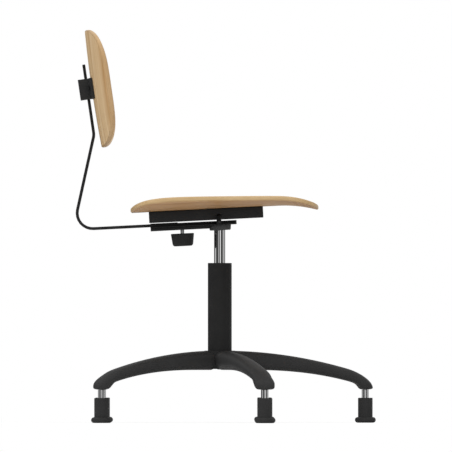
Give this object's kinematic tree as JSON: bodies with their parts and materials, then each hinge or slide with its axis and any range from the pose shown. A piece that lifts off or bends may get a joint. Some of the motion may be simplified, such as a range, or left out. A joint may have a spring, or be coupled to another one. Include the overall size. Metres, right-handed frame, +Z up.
{
  "type": "swivel chair",
  "caption": "Height-adjustable swivel chair: dished plywood seat and curved plywood backrest on a bent flat bar, gas spring column and star base standing on glides.",
  "frame": {"origin": "on the floor, under the middle of the chair's outline, 12 mm ahead of the column axis", "axes": "+Z up, +X the way the sitter faces, +Y to the sitter's left"},
  "size_m": [0.6282, 0.6234, 0.8218],
  "materials": {
    "beech_plywood": "clear satin lacquer over beech veneer, layered edges",
    "black_plastic": "matt black moulded plastic",
    "black_powder_coat": "satin black powder coat",
    "bright_steel": "zinc plated steel",
    "chrome": "polished chrome plate",
    "dark_grey_casting": "dark grey painted casting",
    "rubber": "black rubber"
  },
  "bodies": {
    "base": {"base_hub": "black_powder_coat", "base_arm_1": "black_powder_coat", "base_arm_2": "black_powder_coat", "base_arm_3": "black_powder_coat", "base_arm_4": "black_powder_coat", "base_arm_5": "black_powder_coat", "stem_socket_1": "black_plastic", "stem_socket_2": "black_plastic", "stem_socket_3": "black_plastic", "stem_socket_4": "black_plastic", "stem_socket_5": "black_plastic", "column_tube": "black_powder_coat", "guide_bush": "black_plastic", "bearing_lower_race": "bright_steel", "bearing_cage": "black_plastic"},
    "rod": {"piston_rod": "chrome", "piston": "bright_steel", "bearing_upper_race": "bright_steel", "bump_stop": "rubber", "rod_clip": "bright_steel"},
    "seat_carrier": {"gas_cylinder": "chrome", "rod_guide": "bright_steel", "cone_socket": "dark_grey_casting", "carrier_plate": "black_powder_coat", "clamp_housing": "black_powder_coat", "clamp_nut": "bright_steel", "guide_strap": "black_powder_coat", "post_left": "black_powder_coat", "post_right": "black_powder_coat", "lever_pin": "bright_steel", "seat_pan": "black_powder_coat", "seat_shell": "beech_plywood", "seat_screw_1": "bright_steel", "seat_screw_2": "bright_steel", "seat_screw_3": "bright_steel", "seat_screw_4": "bright_steel"},
    "valve_pin": {"valve_pin": "bright_steel"},
    "lever": {"lever_arm": "bright_steel", "lever_grip": "black_plastic"},
    "clamp_pad": {"clamp_pad": "black_plastic"},
    "clamp_knob": {"clamp_screw": "bright_steel", "clamp_knob": "black_plastic"},
    "back_bar": {"back_bar": "black_powder_coat"},
    "backrest": {"back_bracket": "black_plastic", "bracket_liner": "black_plastic", "backrest_shell": "beech_plywood", "back_screw_1": "black_powder_coat", "back_screw_2": "black_powder_coat"},
    "glide_1": {"glide_stem_1": "chrome", "glide_body_1": "black_plastic"},
    "glide_2": {"glide_stem_2": "chrome", "glide_body_2": "black_plastic"},
    "glide_3": {"glide_stem_3": "chrome", "glide_body_3": "black_plastic"},
    "glide_4": {"glide_stem_4": "chrome", "glide_body_4": "black_plastic"},
    "glide_5": {"glide_stem_5": "chrome", "glide_body_5": "black_plastic"}
  },
  "joints": [
    {"name": "swivel", "type": "hinge", "parent": "base", "child": "rod", "pos_m": [-0.01245, 0, 0.33437], "axis": [0, 0, 1], "continuous": true},
    {"name": "lift", "type": "slide", "parent": "rod", "child": "seat_carrier", "axis": [0, 0, 1], "range_m": [-0.06, 0.07]},
    {"name": "lever", "type": "hinge", "parent": "seat_carrier", "child": "lever", "pos_m": [-0.01451, -0.04025, 0.42965], "axis": [-0.9988, 0, -0.0497], "range_deg": [0, 4], "stiffness_Nm_per_rad": 0.5, "springref_deg": -4.58},
    {"name": "valve", "type": "slide", "parent": "seat_carrier", "child": "valve_pin", "axis": [0, 0, -1], "range_m": [0, 0.003], "stiffness_N_per_m": 400, "springref_m": -0.002},
    {"name": "clamp_feed", "type": "slide", "parent": "seat_carrier", "child": "clamp_pad", "axis": [0.0497, 0, -0.9988], "range_m": [0, 0.00125]},
    {"name": "clamp_turn", "type": "hinge", "parent": "clamp_pad", "child": "clamp_knob", "pos_m": [-0.09074, 0, 0.39622], "axis": [0.0497, 0, -0.9988], "range_deg": [0, 360]},
    {"name": "back_depth", "type": "slide", "parent": "seat_carrier", "child": "back_bar", "axis": [0.9988, 0, 0.0497], "range_m": [-0.03, 0.03]},
    {"name": "back_height", "type": "slide", "parent": "back_bar", "child": "backrest", "axis": [-0.1444, 0, 0.9895], "range_m": [-0.06, 0.025]},
    {"name": "glide_turn_1", "type": "hinge", "parent": "base", "child": "glide_1", "pos_m": [0.29225, 0, 0.0696], "axis": [0, 0, 1], "continuous": true},
    {"name": "glide_turn_2", "type": "hinge", "parent": "base", "child": "glide_2", "pos_m": [0.0817, 0.28979, 0.0696], "axis": [0, 0, 1], "continuous": true},
    {"name": "glide_turn_3", "type": "hinge", "parent": "base", "child": "glide_3", "pos_m": [-0.25896, 0.1791, 0.0696], "axis": [0, 0, 1], "continuous": true},
    {"name": "glide_turn_4", "type": "hinge", "parent": "base", "child": "glide_4", "pos_m": [-0.25896, -0.1791, 0.0696], "axis": [0, 0, 1], "continuous": true},
    {"name": "glide_turn_5", "type": "hinge", "parent": "base", "child": "glide_5", "pos_m": [0.0817, -0.28979, 0.0696], "axis": [0, 0, 1], "continuous": true}
  ],
  "couplings": [
    {"joint": "valve", "follows": "lever", "m_per_rad": 0.04025},
    {"joint": "clamp_turn", "follows": "clamp_feed", "rad_per_m": 5026.5}
  ]
}
